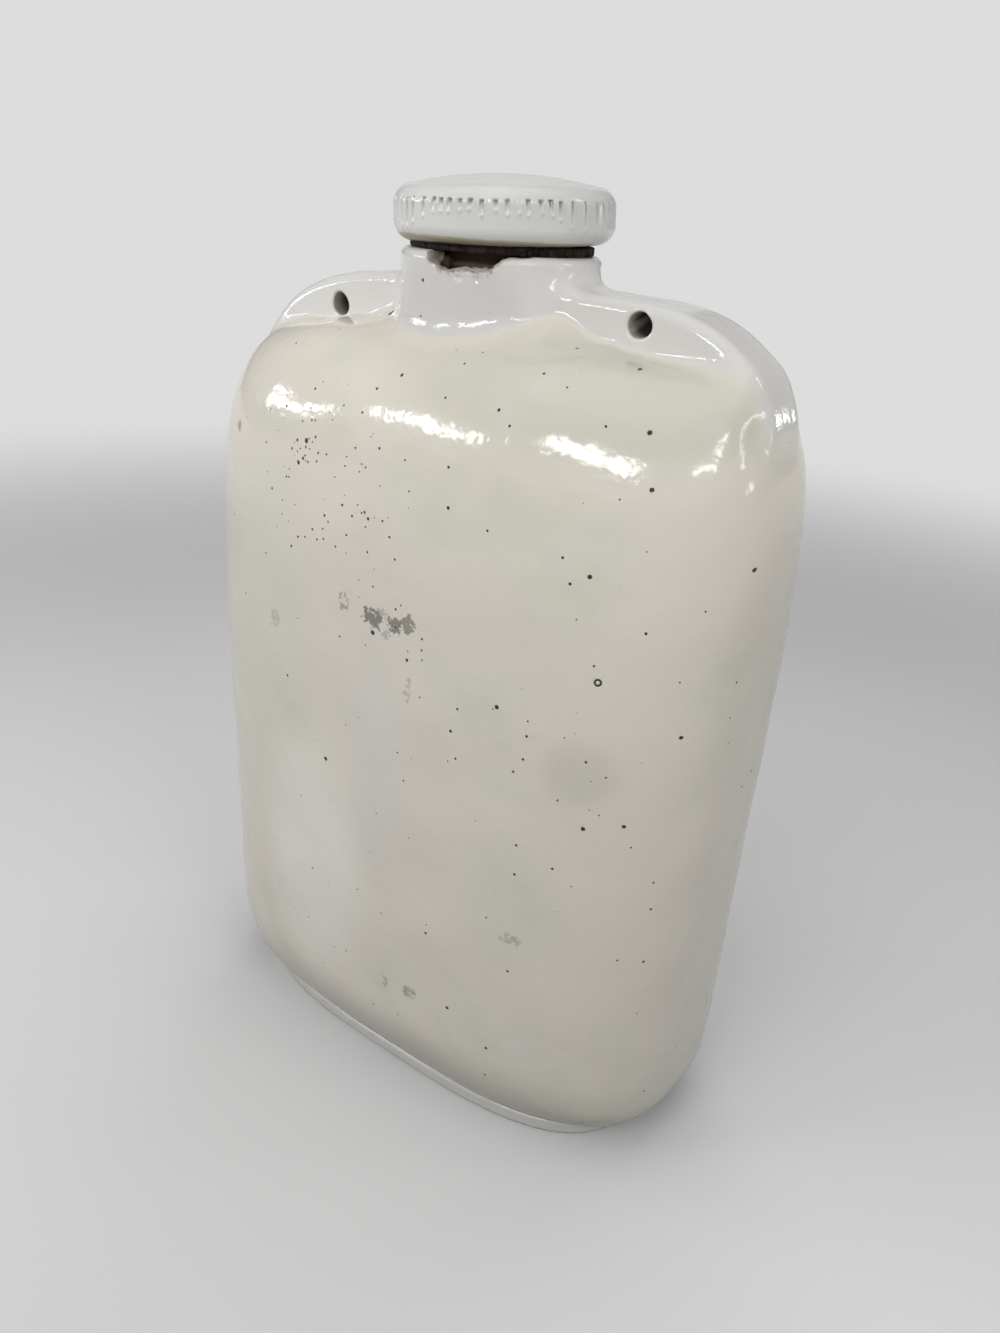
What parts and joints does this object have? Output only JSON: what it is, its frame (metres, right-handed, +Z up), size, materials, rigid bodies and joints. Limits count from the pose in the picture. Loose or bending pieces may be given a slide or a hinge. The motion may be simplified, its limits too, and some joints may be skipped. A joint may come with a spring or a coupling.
{
  "type": "ceramic hot water bottle",
  "caption": "Flat oval stoneware flask on a low foot, with drilled cord lugs beside a short neck and a notched screw stopper sealed by a rubber washer.",
  "frame": {"origin": "middle of the foot's underside, on the surface that the bottle stands on", "axes": "+Z up along the neck, X along the width from lug to lug, front face towards -Y"},
  "size_m": [0.19, 0.101, 0.281],
  "materials": {
    "cream_glaze": "glossy, speckled",
    "white_glaze": "glossy",
    "perished_rubber": "matt, cracked"
  },
  "bodies": {
    "bottle": {"bottle": "cream_glaze"},
    "washer": {"washer": "perished_rubber"},
    "stopper": {"stopper": "white_glaze"}
  },
  "joints": [
    {"name": "stopper_rise", "type": "slide", "parent": "bottle", "child": "washer", "axis": [0, 0, 1], "range_m": [0, 0.024]},
    {"name": "stopper_turn", "type": "hinge", "parent": "washer", "child": "stopper", "pos_m": [0, 0, 0.2638], "axis": [0, 0, 1], "range_deg": [0, 1440]}
  ],
  "couplings": [
    {"joint": "stopper_turn", "follows": "stopper_rise", "rad_per_m": 1047.2}
  ]
}
